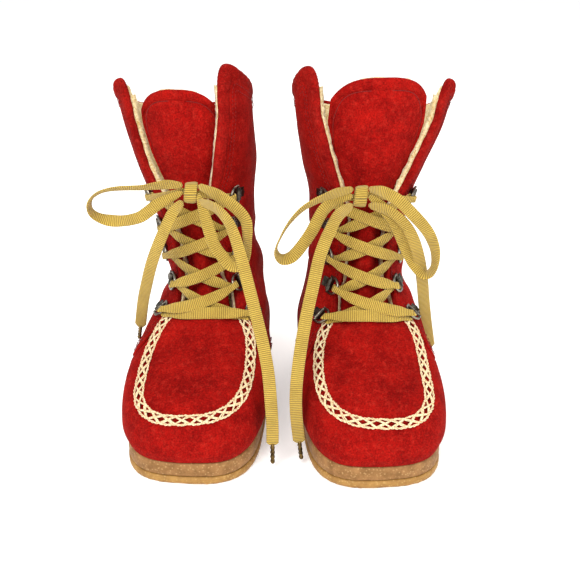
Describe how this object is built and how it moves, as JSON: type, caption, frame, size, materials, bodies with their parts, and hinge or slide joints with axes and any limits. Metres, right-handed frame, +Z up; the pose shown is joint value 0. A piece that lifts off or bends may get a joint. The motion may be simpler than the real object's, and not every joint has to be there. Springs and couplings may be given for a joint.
{
  "type": "pair of lace-up winter boots",
  "caption": "Pair of fleece-lined suede winter boots with stitched moccasin toes, hinged D-rings, flat laces tied in bows and crepe soles.",
  "frame": {"origin": "on the floor, at the centre of the pair's footprint, laces left out", "axes": "+Z up along the shafts, -Y toward the toes, +X from the right boot to the left boot"},
  "size_m": [0.2918, 0.2788, 0.2886],
  "materials": {
    "crepe_base": "crepe rubber tread, amber",
    "crepe": "crepe rubber sidewall, mottled tan",
    "board": "pressed fibre board",
    "fleece": "curly wool pile, cream",
    "suede": "brushed suede, red",
    "suede_binding": "rolled suede edge, red",
    "thread": "waxed cotton thread, cream",
    "clip_metal": "gunmetal plating, satin",
    "ring_metal": "gunmetal wire, satin",
    "lace": "flat braided cotton, mustard",
    "aglet_brass": "antique brass tip"
  },
  "bodies": {
    "right_boot": {"right_outsole": "crepe_base", "right_midsole": "crepe", "right_insole_board": "board", "right_footbed": "fleece", "right_heel_counter": "board", "right_vamp": "suede", "right_apron": "suede", "right_apron_stitching": "thread", "right_quarter_medial": "suede", "right_quarter_lateral": "suede", "right_back_strip": "suede", "right_fleece_lining": "fleece", "right_collar_binding": "suede_binding", "right_ring_clips": "clip_metal", "right_lacing": "lace", "right_bow_loops": "lace", "right_lace_ends": "lace", "right_aglets": "aglet_brass"},
    "right_tongue": {"right_tongue": "suede", "right_tongue_lining": "fleece"},
    "left_boot": {"left_outsole": "crepe_base", "left_midsole": "crepe", "left_insole_board": "board", "left_footbed": "fleece", "left_heel_counter": "board", "left_vamp": "suede", "left_apron": "suede", "left_apron_stitching": "thread", "left_quarter_medial": "suede", "left_quarter_lateral": "suede", "left_back_strip": "suede", "left_fleece_lining": "fleece", "left_collar_binding": "suede_binding", "left_ring_clips": "clip_metal", "left_lacing": "lace", "left_bow_loops": "lace", "left_lace_ends": "lace", "left_aglets": "aglet_brass"},
    "left_tongue": {"left_tongue": "suede", "left_tongue_lining": "fleece"},
    "right_ring_medial_1": {"right_ring_medial_1": "ring_metal"},
    "right_ring_medial_2": {"right_ring_medial_2": "ring_metal"},
    "right_ring_medial_3": {"right_ring_medial_3": "ring_metal"},
    "right_ring_medial_4": {"right_ring_medial_4": "ring_metal"},
    "right_ring_medial_5": {"right_ring_medial_5": "ring_metal"},
    "right_ring_lateral_1": {"right_ring_lateral_1": "ring_metal"},
    "right_ring_lateral_2": {"right_ring_lateral_2": "ring_metal"},
    "right_ring_lateral_3": {"right_ring_lateral_3": "ring_metal"},
    "right_ring_lateral_4": {"right_ring_lateral_4": "ring_metal"},
    "right_ring_lateral_5": {"right_ring_lateral_5": "ring_metal"},
    "left_ring_medial_1": {"left_ring_medial_1": "ring_metal"},
    "left_ring_medial_2": {"left_ring_medial_2": "ring_metal"},
    "left_ring_medial_3": {"left_ring_medial_3": "ring_metal"},
    "left_ring_medial_4": {"left_ring_medial_4": "ring_metal"},
    "left_ring_medial_5": {"left_ring_medial_5": "ring_metal"},
    "left_ring_lateral_1": {"left_ring_lateral_1": "ring_metal"},
    "left_ring_lateral_2": {"left_ring_lateral_2": "ring_metal"},
    "left_ring_lateral_3": {"left_ring_lateral_3": "ring_metal"},
    "left_ring_lateral_4": {"left_ring_lateral_4": "ring_metal"},
    "left_ring_lateral_5": {"left_ring_lateral_5": "ring_metal"}
  },
  "joints": [
    {"name": "left_boot_slide", "type": "slide", "parent": "right_boot", "child": "left_boot", "axis": [1, 0, 0], "range_m": [0, 0.15]},
    {"name": "right_tongue_hinge", "type": "hinge", "parent": "right_boot", "child": "right_tongue", "pos_m": [-0.06242, -0.03188, 0.08706], "axis": [-0.9962, 0.0872, 0], "range_deg": [0, 10]},
    {"name": "right_ring_medial_1_hinge", "type": "hinge", "parent": "right_boot", "child": "right_ring_medial_1", "pos_m": [-0.02329, -0.0291, 0.09656], "axis": [-0.6847, 0.3011, 0.6638], "range_deg": [-2.5, 2.5]},
    {"name": "right_ring_medial_2_hinge", "type": "hinge", "parent": "right_boot", "child": "right_ring_medial_2", "pos_m": [-0.03479, -0.01834, 0.11803], "axis": [-0.4145, 0.2021, 0.8873], "range_deg": [-2.5, 2.5]},
    {"name": "right_ring_medial_3_hinge", "type": "hinge", "parent": "right_boot", "child": "right_ring_medial_3", "pos_m": [-0.0356, -0.00728, 0.1397], "axis": [-0.254, 0.0529, 0.9658], "range_deg": [-2.5, 2.5]},
    {"name": "right_ring_medial_4_hinge", "type": "hinge", "parent": "right_boot", "child": "right_ring_medial_4", "pos_m": [-0.0395, -0.00724, 0.16184], "axis": [-0.0737, -0.0074, 0.9973], "range_deg": [-2.5, 2.5]},
    {"name": "right_ring_medial_5_hinge", "type": "hinge", "parent": "right_boot", "child": "right_ring_medial_5", "pos_m": [-0.03629, -0.0025, 0.18642], "axis": [0.0164, 0.0059, 0.9998], "range_deg": [-2.5, 2.5]},
    {"name": "right_ring_lateral_1_hinge", "type": "hinge", "parent": "right_boot", "child": "right_ring_lateral_1", "pos_m": [-0.10071, -0.02227, 0.09669], "axis": [-0.7606, -0.1982, -0.6182], "range_deg": [-2.5, 2.5]},
    {"name": "right_ring_lateral_2_hinge", "type": "hinge", "parent": "right_boot", "child": "right_ring_lateral_2", "pos_m": [-0.09174, -0.01344, 0.11724], "axis": [-0.2518, -0.0023, -0.9678], "range_deg": [-2.5, 2.5]},
    {"name": "right_ring_lateral_3_hinge", "type": "hinge", "parent": "right_boot", "child": "right_ring_lateral_3", "pos_m": [-0.09727, -0.00181, 0.13845], "axis": [0.0654, 0.1474, -0.9869], "range_deg": [-2.5, 2.5]},
    {"name": "right_ring_lateral_4_hinge", "type": "hinge", "parent": "right_boot", "child": "right_ring_lateral_4", "pos_m": [-0.10089, -0.00181, 0.16107], "axis": [0.1168, 0.132, -0.9843], "range_deg": [-2.5, 2.5]},
    {"name": "right_ring_lateral_5_hinge", "type": "hinge", "parent": "right_boot", "child": "right_ring_lateral_5", "pos_m": [-0.10972, 0.00397, 0.18552], "axis": [0.2092, 0.0975, -0.973], "range_deg": [-2.5, 2.5]},
    {"name": "left_tongue_hinge", "type": "hinge", "parent": "left_boot", "child": "left_tongue", "pos_m": [0.06753, -0.03643, 0.08706], "axis": [-0.9962, -0.0872, 0], "range_deg": [0, 10]},
    {"name": "left_ring_medial_1_hinge", "type": "hinge", "parent": "left_boot", "child": "left_ring_medial_1", "pos_m": [0.02868, -0.03595, 0.09629], "axis": [0.6769, 0.3768, 0.6323], "range_deg": [-2.5, 2.5]},
    {"name": "left_ring_medial_2_hinge", "type": "hinge", "parent": "left_boot", "child": "left_ring_medial_2", "pos_m": [0.03694, -0.02443, 0.11747], "axis": [0.3265, 0.1444, 0.9341], "range_deg": [-2.5, 2.5]},
    {"name": "left_ring_medial_3_hinge", "type": "hinge", "parent": "left_boot", "child": "left_ring_medial_3", "pos_m": [0.03386, -0.013, 0.13929], "axis": [0.1725, -0.0034, 0.985], "range_deg": [-2.5, 2.5]},
    {"name": "left_ring_medial_4_hinge", "type": "hinge", "parent": "left_boot", "child": "left_ring_medial_4", "pos_m": [0.03516, -0.01154, 0.16185], "axis": [0.0619, -0.0206, 0.9979], "range_deg": [-2.5, 2.5]},
    {"name": "left_ring_medial_5_hinge", "type": "hinge", "parent": "left_boot", "child": "left_ring_medial_5", "pos_m": [0.03072, -0.00665, 0.18621], "axis": [-0.081, -0.0404, 0.9959], "range_deg": [-2.5, 2.5]},
    {"name": "left_ring_lateral_1_hinge", "type": "hinge", "parent": "left_boot", "child": "left_ring_lateral_1", "pos_m": [0.10583, -0.0292, 0.09629], "axis": [0.7332, -0.2543, -0.6306], "range_deg": [-2.5, 2.5]},
    {"name": "left_ring_lateral_2_hinge", "type": "hinge", "parent": "left_boot", "child": "left_ring_lateral_2", "pos_m": [0.09366, -0.01944, 0.11766], "axis": [0.3904, -0.1171, -0.9132], "range_deg": [-2.5, 2.5]},
    {"name": "left_ring_lateral_3_hinge", "type": "hinge", "parent": "left_boot", "child": "left_ring_lateral_3", "pos_m": [0.09555, -0.00759, 0.13898], "axis": [0.0907, 0.0728, -0.9932], "range_deg": [-2.5, 2.5]},
    {"name": "left_ring_lateral_4_hinge", "type": "hinge", "parent": "left_boot", "child": "left_ring_lateral_4", "pos_m": [0.09672, -0.00613, 0.16144], "axis": [-0.0447, 0.0875, -0.9952], "range_deg": [-2.5, 2.5]},
    {"name": "left_ring_lateral_5_hinge", "type": "hinge", "parent": "left_boot", "child": "left_ring_lateral_5", "pos_m": [0.10425, -0.00018, 0.18548], "axis": [-0.2349, 0.0993, -0.9669], "range_deg": [-2.5, 2.5]}
  ]
}
